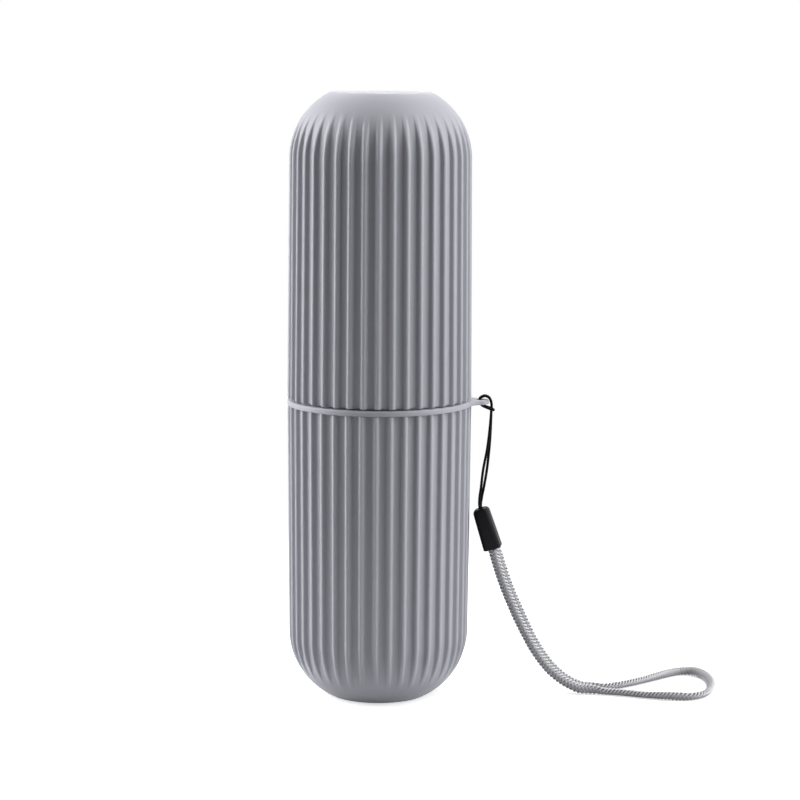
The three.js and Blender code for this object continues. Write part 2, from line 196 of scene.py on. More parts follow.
# How finely round forms are divided
PROFILE_PASSES = 8
CREST_STEPS = 6
SHOULDER_STEPS = 3
ROOT_STEPS = 4
FLOOR_STEPS = 3
SMOOTH_STEPS = 240
FLANGE_STEPS = 480
FLANGE_RINGS = 8
EAR_STEPS = 28
FLUTED_RINGS = 30
SMOOTH_RINGS = 12
INNER_RINGS = 14
ROUNDING_STEPS = 6
EYELET_STEPS = 48
SPLINE_SAMPLES = 24
STRING_STEP = 0.00022
STRING_SIDES = 15
YARN_SIDES = 8
CORE_SIDES = 16
CORE_STEP = 0.001
KNOT_STEPS = 24
SHARP_ANGLE = math.radians(44)
JOINING_DISTANCE = 0.0000001

# Materials: a noise is its scale and detail, and its roughness where it has its own
DRIFT_NOISE = (28, 3)
GLOSS_NOISE = (420, 4)
MOTTLE_NOISE = (900, 3)
FUZZ_NOISE = (7000, 3, 0.7)
FUZZ_STRENGTH = 0.5
FUZZ_DEPTH = 0.00006
GRAIN_DETAIL = 2
GRAIN_STRENGTH = 0.12
SHELL_FINISH = ((0.42, 0.54), 0.15, 2600, 0.000015)  # roughness, gloss, scale and depth of the grain
FERRULE_FINISH = ((0.34, 0.46), 0.09, 5000, 0.00002)
STRING_FINISH = ((0.7, 0.95), 0.08, 0.04)  # roughness, gloss, sheen
YARN_FINISH = ((0.6, 0.85), 0.2, 0.1)
CORE_FINISH = ((0.85, 0.95), 0.05, 0)

# Colours, linear
SHELL_COLOUR = (0.385, 0.388, 0.425, 1)
SHELL_COLOUR_DEEP = (0.36, 0.364, 0.402, 1)
FERRULE_COLOUR = (0.006, 0.006, 0.0075, 1)
STRING_COLOUR = (0.003, 0.003, 0.0035, 1)
# One yarn in two shades: lighter where the yarns lie over the strap's narrow sides, a painted highlight for
# the light from above on its top edge, and darker across its flat faces, painted shade. Both narrow sides get
# the lighter shade.
EDGE_YARN_PAINTED_LIT_COLOURS = (0.8, 0.8, 0.82, 1), (0.64, 0.64, 0.66, 1)
FACE_YARN_PAINTED_SHADE_COLOURS = (0.42, 0.42, 0.435, 1), (0.34, 0.34, 0.355, 1)
# A near-black core under the yarns: painted shade that shows in the gaps between them.
PAINTED_SHADE_CORE_COLOUR = (0.02, 0.02, 0.022, 1)
FLOOR_COLOUR = (0.86, 0.86, 0.87, 1)
FLOOR_BOUNCE_NEAR = (0.5, 0.5, 0.51, 1)  # as it lights the object
FLOOR_BOUNCE_FAR = (0.16, 0.16, 0.165, 1)
WHITE = (1, 1, 1, 1)

# Stage
FLOOR_SIZE = 3
FLOOR_SHADOW_REACH = (0.12, 0.32)  # from the object's middle: full shadow within, none beyond
FLOOR_LIFT = 0.55  # of the floor's brightness as the camera sees it
ROOM_STRENGTH = (0.02, 1)  # of the white room: as it lights the object, and as the camera sees it
SOFTBOX = (0.352, 0.62, 0.33, 0.7)  # height, distance from the case's axis, the lamp's width and height
LAMPS = {  # azimuth from -Y towards +X in degrees, the same four values, and power
    "softbox_left": (-97, *SOFTBOX, 7.2),
    "softbox_left_fill": (-65, *SOFTBOX, 1.1),
    "softbox_right": (87, *SOFTBOX, 3.3),
    "softbox_right_fill": (60, *SOFTBOX, 2.1),
    "overhead_right": (90, 0.75, 0.35, 0.3, 0.3, 1.9),
    "overhead_back": (180, 0.7, 0.6, 0.4, 0.3, 3.0),
}


def smoothstep(low, high, value):
    share = np.clip((value - low) / (high - low), 0, 1)
    return share * share * (3 - 2 * share)


def unit(vectors):
    return vectors / np.linalg.norm(vectors, axis=-1, keepdims=True)


# Materials

def new_material(name):
    material = bpy.data.materials.new(name)
    material.use_nodes = True
    nodes = material.node_tree.nodes
    return material, nodes, material.node_tree.links, nodes["Principled BSDF"]


def add_noise(nodes, links, scale, detail, roughness=0.5):
    place = nodes.new("ShaderNodeTexCoord")
    noise = nodes.new("ShaderNodeTexNoise")
    noise.inputs["Scale"].default_value = scale
    noise.inputs["Detail"].default_value = detail
    noise.inputs["Roughness"].default_value = roughness
    links.new(place.outputs["Object"], noise.inputs["Vector"])
    return noise.outputs["Fac"]


def add_range(nodes, links, value, low, high):
    spread = nodes.new("ShaderNodeMapRange")
    spread.inputs["To Min"].default_value = low
    spread.inputs["To Max"].default_value = high
    links.new(value, spread.inputs["Value"])
    return spread.outputs["Result"]


def add_colours(nodes, links, value, first, second, target):
    mix = nodes.new("ShaderNodeMix")
    mix.data_type = "RGBA"
    mix.inputs["A"].default_value = first
    mix.inputs["B"].default_value = second
    links.new(value, mix.inputs["Factor"])
    links.new(mix.outputs["Result"], target)


def add_bump(nodes, links, height, strength, distance, target):
    bump = nodes.new("ShaderNodeBump")
    bump.inputs["Strength"].default_value = strength
    bump.inputs["Distance"].default_value = distance
    links.new(height, bump.inputs["Height"])
    links.new(bump.outputs["Normal"], target)


def moulded_plastic(name, first, second, roughness, gloss_level, grain, grain_depth):
    """Moulded plastic: a faint drift of colour, an uneven gloss and a fine grain."""
    material, nodes, links, shader = new_material(name)
    drift = add_noise(nodes, links, *DRIFT_NOISE)
    add_colours(nodes, links, drift, first, second, shader.inputs["Base Color"])
    shader.inputs["Specular IOR Level"].default_value = gloss_level
    gloss = add_noise(nodes, links, *GLOSS_NOISE)
    links.new(add_range(nodes, links, gloss, *roughness), shader.inputs["Roughness"])
    height = add_noise(nodes, links, grain, GRAIN_DETAIL)
    add_bump(nodes, links, height, GRAIN_STRENGTH, grain_depth, shader.inputs["Normal"])
    return material


def fibre(name, first, second, roughness, gloss_level, sheen):
    """Spun fibre: mottled colour, a matt face with a little sheen, and a fuzz of fine filaments."""
    material, nodes, links, shader = new_material(name)
    mottle = add_noise(nodes, links, *MOTTLE_NOISE)
    add_colours(nodes, links, mottle, first, second, shader.inputs["Base Color"])
    links.new(add_range(nodes, links, mottle, *roughness), shader.inputs["Roughness"])
    shader.inputs["Specular IOR Level"].default_value = gloss_level
    shader.inputs["Sheen Weight"].default_value = sheen
    height = add_noise(nodes, links, *FUZZ_NOISE)
    add_bump(nodes, links, height, FUZZ_STRENGTH, FUZZ_DEPTH, shader.inputs["Normal"])
    return material


# Mesh building: a ring is its points and the share of a turn at which each of them stands

def ring(turns, radius, height):
    angle = 2 * math.pi * turns
    height = np.broadcast_to(height, turns.shape)
    return turns, np.stack([radius * np.cos(angle), radius * np.sin(angle), height], axis=1)


def circle(radius, height, steps=SMOOTH_STEPS):
    return ring(np.arange(steps) / steps, radius, height)


def tip(height):
    return np.zeros(1), np.array([[0, 0, height]])


def stitch(lower, upper, first_lower, first_upper, faces):
    """Faces between two rings, which may have different numbers of points."""
    low, high = len(lower), len(upper)
    if low == high and np.allclose(lower, upper):
        for i in range(low):
            j = (i + 1) % low
            faces.append((first_lower + i, first_lower + j, first_upper + j, first_upper + i))
        return
    low_steps, high_steps = (0 if n == 1 else n for n in (low, high))
    i = j = 0
    while i < low_steps or j < high_steps:
        next_low = lower[(i + 1) % low] + (i + 1) // low
        next_high = upper[(j + 1) % high] + (j + 1) // high
        if j >= high_steps or (i < low_steps and next_low <= next_high):
            faces.append((first_lower + i % low, first_lower + (i + 1) % low, first_upper + j % high))
            i += 1
        else:
            faces.append((first_lower + i % low, first_upper + (j + 1) % high, first_upper + j % high))
            j += 1


def loft(rings, closed=False):
    """Points and faces of a body through rings that run up its outside and down its inside."""
    points = np.concatenate([r[1] for r in rings])
    starts = np.cumsum([0] + [len(r[1]) for r in rings])
    faces = []
    for k in range(1, len(rings)):
        stitch(rings[k - 1][0], rings[k][0], starts[k - 1], starts[k], faces)
    if closed:
        stitch(rings[-1][0], rings[0][0], starts[len(rings) - 1], starts[0], faces)
    return points, faces


def make_object(name, points, faces, material):
    mesh = bpy.data.meshes.new(name)
    mesh.from_pydata([tuple(p) for p in points], [], [tuple(int(i) for i in f) for f in faces])
    mesh.polygons.foreach_set("use_smooth", np.ones(len(mesh.polygons), bool))
    mesh.set_sharp_from_angle(angle=SHARP_ANGLE)
    mesh.materials.append(material)
    obj = bpy.data.objects.new(name, mesh)
    bpy.context.scene.collection.objects.link(obj)
    return obj


# The case's profile and flutes

def wall_radius(distance):
    return RIM_RADIUS - math.tan(DRAFT) * distance


def dome():
    """Radius at which the centre of a dome's arc stands, and the dome's height, where it meets the wall."""
    height = DOME_RADIUS
    for _ in range(PROFILE_PASSES):
        centre = wall_radius(PARTING - height) - DOME_RADIUS
        height = math.sqrt(DOME_RADIUS**2 - (FLAT_END_RADIUS - centre) ** 2)
    return centre, height


DOME_CENTRE, DOME_HEIGHT = dome()
DOME_SWEEP = math.asin(DOME_HEIGHT / DOME_RADIUS)


def dome_point(angle, wall=0.0):
    radius = DOME_RADIUS - wall
    return DOME_CENTRE + radius * math.cos(angle), DOME_HEIGHT - radius * math.sin(angle)


def bend(across, depth, radius, start, end, steps):
    """Points of a round that goes on from a point while its slope runs from start to end.

    It is hollow where the radius is negative."""
    slopes = np.linspace(start, end, steps + 1)[1:]
    across = across + radius * (np.sin(slopes) - math.sin(start))
    depth = depth + radius * (math.cos(start) - np.cos(slopes))
    return list(zip(across, depth))


def flute_section():
    """Places across one flute, as shares of its pitch from the middle of a crest, and the depth at each."""
    half = [(0, 0), *bend(0, 0, CREST_RADIUS, 0, CREST_SLOPE, CREST_STEPS)]
    half += bend(*half[-1], SHOULDER_RADIUS, CREST_SLOPE, WALL_SLOPE, SHOULDER_STEPS)
    across, depth = half[-1]
    wall_end = FLUTE_DEPTH - FLOOR_BOW - ROOT_RADIUS * (1 - math.cos(WALL_SLOPE))
    half.append((across + (wall_end - depth) / math.tan(WALL_SLOPE), wall_end))
    half += bend(*half[-1], -ROOT_RADIUS, WALL_SLOPE, 0, ROOT_STEPS)
    across, depth = half[-1]
    for share in np.arange(1, FLOOR_STEPS + 1) / FLOOR_STEPS:
        bow = FLOOR_BOW * (1 - (1 - share) ** 2)
        half.append((across + (FLUTE_PITCH / 2 - across) * share, depth + bow))
    places, depths = np.array(half).T
    places = np.concatenate([places, FLUTE_PITCH - places[-2:0:-1]])
    return places / FLUTE_PITCH, np.concatenate([depths, depths[-2:0:-1]])


SECTION_PLACES, SECTION_DEPTHS = flute_section()
FLUTE_TURNS = np.concatenate([(flute + SECTION_PLACES) / FLUTE_COUNT for flute in range(FLUTE_COUNT)])
FLUTE_DEPTHS = np.tile(SECTION_DEPTHS, FLUTE_COUNT)


def fluted_ring(radius, height, share, loss=0.0):
    return ring(FLUTE_TURNS, radius - FLUTE_DEPTHS * share - loss, height)


def outer_end_rings():
    """The outside of a shell from its flat end, at height 0, to where its dome meets the wall."""
    rings = [tip(0)]
    for angle in np.linspace(DOME_SWEEP, FADE_END, SMOOTH_RINGS):
        radius, height = dome_point(angle)
        rings.append(circle(radius, height))
    for angle in np.linspace(FADE_END, 0, FLUTED_RINGS + 1)[1:]:
        radius, height = dome_point(angle)
        rings.append(fluted_ring(radius, height, 1 - smoothstep(FADE_START, FADE_END, angle)))
    return rings


def inner_end_rings(wall):
    rings = []
    for share in np.linspace(0, 1, INNER_RINGS + 1):
        radius, height = dome_point(DOME_SWEEP * share, wall + (END_WALL - wall) * share)
        rings.append(circle(radius, height))
    return rings + [tip(rings[-1][1][0][2])]


def upside_down(rings):
    return [(turns, points * (1, 1, -1) + (0, 0, CASE_HEIGHT)) for turns, points in reversed(rings)]


# The flange with its ear

def flange_outline():
    """Points round the flange with the ear on +X, from the ear's tip on, and their outward normals."""
    half = EAR_WIDTH / 2
    tip_centre = EAR_REACH - half
    fillet_reach = RIM_RADIUS + EAR_FILLET
    fillet_x = (fillet_reach**2 - (half + EAR_FILLET) ** 2 + tip_centre**2) / (2 * tip_centre)
    fillet_y = math.sqrt(fillet_reach**2 - fillet_x**2)
    tip_end = math.atan2(fillet_y, fillet_x - tip_centre)
    tip_angles = np.linspace(0, tip_end, EAR_STEPS)
    tip_arc = np.stack([tip_centre + half * np.cos(tip_angles), half * np.sin(tip_angles)], axis=1)
    tip_normals = np.stack([np.cos(tip_angles), np.sin(tip_angles)], axis=1)
    rim_start = math.atan2(fillet_y, fillet_x)
    fillet_angles = np.linspace(tip_end + math.pi, rim_start + math.pi, EAR_STEPS)[1:]
    fillet_normals = -np.stack([np.cos(fillet_angles), np.sin(fillet_angles)], axis=1)
    fillet_arc = np.array([fillet_x, fillet_y]) - EAR_FILLET * fillet_normals
    rim_angles = np.linspace(rim_start, 2 * math.pi - rim_start, FLANGE_STEPS)[1:-1]
    rim_normals = np.stack([np.cos(rim_angles), np.sin(rim_angles)], axis=1)
    near = np.concatenate([tip_arc, fillet_arc])
    near_normals = np.concatenate([tip_normals, fillet_normals])
    mirrored = near[:0:-1] * (1, -1)
    mirrored_normals = near_normals[:0:-1] * (1, -1)
    points = np.concatenate([near, RIM_RADIUS * rim_normals, mirrored])
    return points, np.concatenate([near_normals, rim_normals, mirrored_normals])


OUTLINE, OUTLINE_NORMALS = flange_outline()
OUTLINE_TURNS = (np.arctan2(OUTLINE[:, 1], OUTLINE[:, 0]) / (2 * math.pi) + 1) % 1


def outline_ring(inset, height):
    return OUTLINE_TURNS, np.column_stack([OUTLINE - OUTLINE_NORMALS * inset, height])


def lower_edge_ring(turn):
    """A ring round the lower edge, at an angle of its rounding: 0 on the flat and 90 degrees on the side."""
    on_ear = smoothstep(RIM_RADIUS, RIM_RADIUS + EAR_BLEND, np.hypot(*OUTLINE.T))
    face = FLANGE_BOTTOM + EAR_RISE * on_ear
    height = face + FLANGE_LOWER_ROUNDING * (1 - math.cos(turn))
    return outline_ring(FLANGE_LOWER_ROUNDING * (1 - math.sin(turn)), height)


def upper_edge_ring(turn):
    height = FLANGE_TOP - FLANGE_UPPER_ROUNDING * (1 - math.cos(turn))
    return outline_ring(FLANGE_UPPER_ROUNDING * (1 - math.sin(turn)), np.full(len(OUTLINE), height))


def top_ring(reach):
    """A ring across the flange's top, held inside the rounding of its edge."""
    edge = OUTLINE - OUTLINE_NORMALS * FLANGE_UPPER_ROUNDING
    edge_reach = np.hypot(*edge.T)
    place = edge * (np.minimum(edge_reach, reach) / edge_reach)[:, None]
    return OUTLINE_TURNS, np.column_stack([place, np.full(len(place), FLANGE_TOP)])


def flange_rings():
    """From the ribs' ends over the edge to the neck."""
    turns = np.linspace(0, math.pi / 2, ROUNDING_STEPS + 1)
    reaches = np.linspace(RIM_RADIUS, EAR_REACH, FLANGE_RINGS)
    rings = [lower_edge_ring(turn) for turn in turns]
    rings += [upper_edge_ring(turn) for turn in turns[::-1]]
    return rings + [top_ring(reach) for reach in reaches[::-1]]


def cup_mesh():
    neck_end = NECK_TOP - NECK_LEAD
    rings = outer_end_rings()
    wall_top = wall_radius(PARTING - FLANGE_BOTTOM)
    for turn in np.linspace(math.pi / 2, 0, ROUNDING_STEPS + 1):
        height = FLANGE_BOTTOM - RIB_END_ROUNDING * (1 - math.cos(turn))
        rings.append(fluted_ring(wall_top, height, 1, RIB_END_ROUNDING * (1 - math.sin(turn))))
    rings += flange_rings()
    rings.append(circle(NECK_RADIUS + NECK_ROOT_ROUNDING, FLANGE_TOP))
    rings.append(circle(NECK_RADIUS, FLANGE_TOP + NECK_ROOT_ROUNDING))
    rings.append(circle(NECK_RADIUS, neck_end))
    rings.append(circle(NECK_RADIUS - NECK_LEAD / 2, NECK_TOP - MOUTH_ROUNDING))
    rings.append(circle(NECK_RADIUS - NECK_LEAD / 2 - MOUTH_ROUNDING / 2, NECK_TOP))
    rings.append(circle(MOUTH_RADIUS + MOUTH_ROUNDING, NECK_TOP))
    rings.append(circle(MOUTH_RADIUS, NECK_TOP - MOUTH_ROUNDING))
    rings.append(circle(MOUTH_RADIUS, FLANGE_BOTTOM))
    return loft(rings + inner_end_rings(RIM_RADIUS - MOUTH_RADIUS))


def cap_mesh():
    bore_end = NECK_TOP + BORE_RELIEF
    rings = upside_down(inner_end_rings(RIM_RADIUS - CAP_BORE))
    rings.append(circle(CAP_BORE, bore_end))
    rings.append(circle(CAP_BORE, CAP_RIM + MOUTH_ROUNDING))
    rings.append(circle(CAP_BORE + MOUTH_ROUNDING, CAP_RIM))
    for turn in np.linspace(0, math.pi / 2, ROUNDING_STEPS + 1):
        height = CAP_RIM + RIM_ROUNDING * (1 - math.cos(turn))
        radius = wall_radius(height - PARTING)
        rings.append(fluted_ring(radius, height, 1, RIM_ROUNDING * (1 - math.sin(turn))))
    return loft(rings + upside_down(outer_end_rings()))


def eyelet_cutter(material):
    """A plug for the eyelet that flares at both faces of the ear, so that the hole gets rounded edges."""
    bottom = FLANGE_BOTTOM + EAR_RISE
    flare = [
        (EYELET_RADIUS + EYELET_ROUNDING * (1 - math.sin(turn)), EYELET_ROUNDING * (1 - math.cos(turn)))
        for turn in np.linspace(0, math.pi / 2, ROUNDING_STEPS + 1)
    ]
    profile = [(EYELET_RADIUS + EYELET_ROUNDING, bottom - EYELET_ROUNDING)]
    profile += [(radius, bottom + inwards) for radius, inwards in flare]
    profile += [(radius, FLANGE_TOP - inwards) for radius, inwards in flare[::-1]]
    profile.append((EYELET_RADIUS + EYELET_ROUNDING, FLANGE_TOP + EYELET_ROUNDING))
    rings = [circle(radius, height, EYELET_STEPS) for radius, height in profile]
    points, faces = loft([tip(profile[0][1]), *rings, tip(profile[-1][1])])
    return make_object("eyelet_cutter", points + (EYELET_REACH, 0, 0), faces, material)


def join_points(mesh):
    """Joins points that coincide, and so drops the faces without area that a cut can leave."""
    joined = bmesh.new()
    joined.from_mesh(mesh)
    bmesh.ops.remove_doubles(joined, verts=joined.verts, dist=JOINING_DISTANCE)
    joined.to_mesh(mesh)
    joined.free()


def cut(obj, cutter):
    tool = obj.modifiers.new("cut", "BOOLEAN")
    tool.object = cutter
    tool.operation = "DIFFERENCE"
    tool.solver = "EXACT"
    mesh = bpy.data.meshes.new_from_object(obj.evaluated_get(bpy.context.evaluated_depsgraph_get()))
    obj.modifiers.clear()
    obj.data = mesh
    join_points(mesh)
    mesh.set_sharp_from_angle(angle=SHARP_ANGLE)
    bpy.data.objects.remove(cutter)


# Cords

def follow(route, step):
    """Points a step apart on the centripetal spline through a route that starts at the eyelet."""
    knots = np.array(route, float) + (EYELET_REACH, 0, 0)
    knots = np.concatenate([[2 * knots[0] - knots[1]], knots, [2 * knots[-1] - knots[-2]]])
    line = [knots[1]]
    for p0, p1, p2, p3 in zip(knots, knots[1:], knots[2:], knots[3:]):
        d0, d1, d2 = (math.sqrt(np.linalg.norm(b - a)) for a, b in ((p0, p1), (p1, p2), (p2, p3)))
        leave = ((p1 - p0) / d0 - (p2 - p0) / (d0 + d1) + (p2 - p1) / d1) * d1
        arrive = ((p2 - p1) / d1 - (p3 - p1) / (d1 + d2) + (p3 - p2) / d2) * d1
        for t in np.arange(1, SPLINE_SAMPLES + 1) / SPLINE_SAMPLES:
            cubic = 2 * p1 - 2 * p2 + leave + arrive
            square = -3 * p1 + 3 * p2 - 2 * leave - arrive
            line.append(p1 + leave * t + square * t**2 + cubic * t**3)
    line = np.array(line)
    along = np.concatenate([[0], np.cumsum(np.linalg.norm(np.diff(line, axis=0), axis=1))])
    at = np.linspace(0, along[-1], math.ceil(along[-1] / step) + 1)
    return np.stack([np.interp(at, along, line[:, k]) for k in range(3)], axis=1), at


def steady_frames(line):
    """Tangents and two normals along a line that turn no more than the line does."""
    tangents = unit(np.gradient(line, axis=0))
    normal = unit(np.cross(tangents[0], (0, 1, 0)))
    normals = []
    for tangent in tangents:
        normal = unit(normal - tangent * (normal @ tangent))
        normals.append(normal)
    normals = np.array(normals)
    return tangents, normals, np.cross(tangents, normals)


def tube(centres, across, up, widths, heights, sides, first=0):
    """Points and faces of a closed tube whose section at each centre spans across and up."""
    angles = np.arange(sides) * 2 * math.pi / sides
    points = (
        centres[:, None]
        + across[:, None] * (np.broadcast_to(widths, (len(centres), sides)) * np.cos(angles))[..., None]
        + up[:, None] * (np.broadcast_to(heights, (len(centres), sides)) * np.sin(angles))[..., None]
    ).reshape(-1, 3)
    i = np.arange(len(centres) - 1)[:, None] * sides
    j = np.arange(sides)[None]
    k = (j + 1) % sides
    quads = np.stack([i + j, i + k, i + sides + k, i + sides + j], axis=-1).reshape(-1, 4) + first
    end = first + (len(centres) - 1) * sides
    caps = [tuple(range(first + sides - 1, first - 1, -1)), tuple(range(end, end + sides))]
    return points, [tuple(q) for q in quads] + caps


def string_mesh():
    line, along = follow(STRING_ROUTE, STRING_STEP)
    _, across, up = steady_frames(line)
    angles = np.arange(STRING_SIDES) * 2 * math.pi / STRING_SIDES
    ply = STRING_PLIES / 2 * (angles[None] - 2 * math.pi * along[:, None] / STRING_LAY)
    radii = STRING_DIAMETER / 2 * (1 - STRING_GROOVE * (1 - np.abs(np.cos(ply))))
    points, faces = tube(line, across, up, radii, radii, STRING_SIDES)
    return points, faces, line, along[-1]


def strap_path(step):
    """The strap's line, the directions of its width and thickness, and its length so far.

    It stands on its narrow side. On the table it leans over to the front, and outwards in the loop's turn."""
    line, along = follow(STRAP_ROUTE, step)
    tangents = unit(np.gradient(line, axis=0))
    side = unit(np.cross(tangents, (0, 0, 1)))
    upright = np.cross(side, tangents)
    reach = line[:, 0] - EYELET_REACH
    lean = STRAP_LEAN + (STRAP_LOOP_LEAN - STRAP_LEAN) * smoothstep(*STRAP_STANDS_UP, reach)
    lean *= smoothstep(*STRAP_LEANS_OVER, reach) * tangents[:, 0]
    lean += STRAP_TURN_LEAN * smoothstep(*STRAP_STANDS_UP, reach) * np.clip(tangents[:, 1], 0, 1)
    cos, sin = np.cos(lean)[:, None], np.sin(lean)[:, None]
    wide = upright * cos + side * sin
    half_height = np.hypot(STRAP_WIDTH / 2 * cos[:, 0], STRAP_THICKNESS / 2 * sin[:, 0])
    settled = 1 - smoothstep(*STRAP_SETTLING, line[:, 2])
    line[:, 2] += settled * (half_height - STRAP_SETTLING[0])
    return line, wide, np.cross(wide, tangents), along


def braid_half_sizes():
    """Half of the strap's width and thickness, at the middle between the yarns that cross."""
    size = (STRAP_WIDTH, STRAP_THICKNESS)
    return tuple(s / 2 - weave - height / 2 for s, weave, height in zip(size, YARN_WEAVE, YARN_THICKNESS))


def braid_mesh(way):
    """Yarns that wind one way round the strap, over two and under two of those that wind the other way.

    With way 1 they're on top along its narrow sides, and with way -1 along its flat faces."""
    line, wide, thick, along = strap_path(YARN_STEP)
    wide_half, thick_half = braid_half_sizes()
    crossings = YARN_COUNT * along / YARN_LAY
    points, faces = [], []
    for number in range(YARN_COUNT // 2):
        angle = 2 * math.pi * (number / (YARN_COUNT / 2) + way * along / YARN_LAY)
        lag = WEAVE_REPEAT // 2 * (number if way > 0 else 1 - number)
        cos, sin = np.cos(angle)[:, None], np.sin(angle)[:, None]
        breadth, height, weave = (
            low + (high - low) * sin**2 for low, high in (YARN_WIDTH, YARN_THICKNESS, YARN_WEAVE)
        )
        rise = weave[:, 0] * np.cos(2 * math.pi * (crossings + lag) / WEAVE_REPEAT)
        centres = line + (wide_half + rise)[:, None] * cos * wide + (thick_half + rise)[:, None] * sin * thick
        outwards = unit(cos / wide_half * wide + sin / thick_half * thick)
        run = unit(np.gradient(centres, axis=0))
        across = unit(np.cross(outwards, run))
        new_points, new_faces = tube(
            centres, across, np.cross(run, across), breadth / 2, height / 2, YARN_SIDES,
            first=sum(map(len, points)),
        )
        points.append(new_points)
        faces += new_faces
    return np.concatenate(points), faces, line, along[-1]


# A near-black tube just under the yarns, painted shade that shows in the gaps between them.
def core_mesh():
    line, wide, thick, _ = strap_path(CORE_STEP)
    wide_half, thick_half = (half + CORE_RISE for half in braid_half_sizes())
    return tube(line, thick, wide, thick_half, wide_half, CORE_SIDES)


# The ferrule

def sleeve_ring(width, depth, corner, height):
    radius = min(corner, (min(width, depth) - FERRULE_LEAST_FLAT) / 2)
    turns, points = [], []
    for quarter, (side_x, side_y) in enumerate([(1, 1), (-1, 1), (-1, -1), (1, -1)]):
        for i in range(ROUNDING_STEPS + 1):
            angle = (quarter + i / ROUNDING_STEPS) * math.pi / 2
            x = side_x * (width / 2 - radius) + radius * math.cos(angle)
            y = side_y * (depth / 2 - radius) + radius * math.sin(angle)
            points.append((x, y, height))
            turns.append((quarter + (i + 0.5) / (ROUNDING_STEPS + 1)) / 4)
    return np.array(turns), np.array(points)


def ferrule_mesh():
    def sleeve(height, inset, corner=FERRULE_CORNER):
        taper = 1 + (FERRULE_TAPER - 1) * height / FERRULE_LENGTH
        return sleeve_ring(
            FERRULE_WIDTH * taper - 2 * inset, FERRULE_DEPTH * taper - 2 * inset, corner, height
        )

    rings = [sleeve(0, FERRULE_CHAMFER)]
    rings.append(sleeve(FERRULE_CHAMFER_KNEE, FERRULE_CHAMFER_KNEE))
    rings.append(sleeve(FERRULE_CHAMFER, 0))
    for turn in np.linspace(0, math.pi / 2, 2 * ROUNDING_STEPS + 1):
        height = FERRULE_LENGTH - FERRULE_ROUNDING * (1 - math.sin(turn))
        rings.append(sleeve(height, FERRULE_TOP_INSET * (1 - math.cos(turn))))
    width, depth = STRING_BORE
    rings += [sleeve_ring(width, depth, width / 2, height) for height in (FERRULE_LENGTH, FERRULE_CEILING)]
    inner_corner = FERRULE_CORNER - FERRULE_WALL
    rings += [sleeve(FERRULE_CEILING, FERRULE_WALL, inner_corner), sleeve(0, FERRULE_WALL, inner_corner)]
    return loft(rings, closed=True)


def ferrule_matrix():
    place = Vector(FERRULE_PLACE) + Vector((EYELET_REACH, 0, 0))
    return (
        Matrix.Translation(place)
        @ Matrix.Rotation(-FERRULE_TILT, 4, "Y")
        @ Matrix.Rotation(-FERRULE_TURN, 4, "Z")
    )


def knot_mesh():
    """A tight round knot: a ball whose surface is wound with cord."""
    turns = np.arange(KNOT_STEPS) / KNOT_STEPS
    rings = []
    for up in np.linspace(0, math.pi, KNOT_STEPS + 1)[1:-1]:
        winding = np.abs(np.sin(KNOT_WINDINGS * (up + 2 * math.pi * turns)))
        radius = KNOT_RADIUS * (1 - STRING_GROOVE * (1 - winding))
        rings.append(ring(turns, radius * math.sin(up), -radius * math.cos(up)))
    low, high = (KNOT_RADIUS * (1 - STRING_GROOVE) * sign for sign in (-1, 1))
    return loft([tip(low), *rings, tip(high)])


# Camera, cords, case and stage, in this order

def make_camera():
    data = bpy.data.cameras.new("camera")
    data.lens = CAMERA_LENS
    data.sensor_width = CAMERA_SENSOR
    camera = bpy.data.objects.new("camera", data)
    bpy.context.scene.collection.objects.link(camera)
    eye = Vector(
        (CAMERA_DISTANCE * math.sin(CAMERA_SIDE), -CAMERA_DISTANCE * math.cos(CAMERA_SIDE), CAMERA_HEIGHT)
    )
    camera.matrix_world = (
        Matrix.Translation(eye)
        @ Matrix.Rotation(CAMERA_HEADING, 4, "Z")
        @ Matrix.Rotation(math.pi / 2 - CAMERA_PITCH, 4, "X")
        @ Matrix.Rotation(CAMERA_ROLL, 4, "Z")
    )
    bpy.context.scene.camera = camera


def make_lanyard():
    string_fibre = fibre("string_fibre", STRING_COLOUR, STRING_COLOUR, *STRING_FINISH)
    painted_lit_fibre = fibre("painted_lit_fibre", *EDGE_YARN_PAINTED_LIT_COLOURS, *YARN_FINISH)
    painted_shade_fibre = fibre("painted_shade_fibre", *FACE_YARN_PAINTED_SHADE_COLOURS, *YARN_FINISH)
    painted_shade_core_fibre = fibre("painted_shade_core_fibre", PAINTED_SHADE_CORE_COLOUR, PAINTED_SHADE_CORE_COLOUR, *CORE_FINISH)
    black_plastic = moulded_plastic("black_plastic", FERRULE_COLOUR, FERRULE_COLOUR, *FERRULE_FINISH)

    points, faces = ferrule_mesh()
    ferrule = make_object("lanyard_ferrule_moulding", points, faces, black_plastic)
    ferrule.matrix_world = ferrule_matrix()
    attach(ferrule, "lanyard")
    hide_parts("lanyard_ferrule")

    points, faces = knot_mesh()
    knot = make_object("string_knot", points, faces, string_fibre)
    knot.matrix_world = ferrule_matrix() @ Matrix.Translation((0, 0, FERRULE_CEILING - KNOT_DROP))
    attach(knot, "lanyard")

    points, faces, line, length = string_mesh()
    string = make_object("hitched_string", points, faces, string_fibre)
    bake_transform(string)
    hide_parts("lanyard_string")

    # The yarns on top along the narrow sides take the lighter shade and those along the flat faces the darker
    # one: painted highlight and painted shade of one yarn.
    points, faces, line, length = braid_mesh(1)
    strap = make_object("strap_edge_yarns", points, faces, painted_lit_fibre)
    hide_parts("wrist_strap")
    face_yarns = make_object("strap_face_yarns", *braid_mesh(-1)[:2], painted_shade_fibre)
    # The near-black core is painted shade for the gaps between the yarns.
    core = make_object("strap_core_painted_shade", *core_mesh(), painted_shade_core_fibre)
    for piece in (strap, face_yarns, core):
        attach(piece, "lanyard")


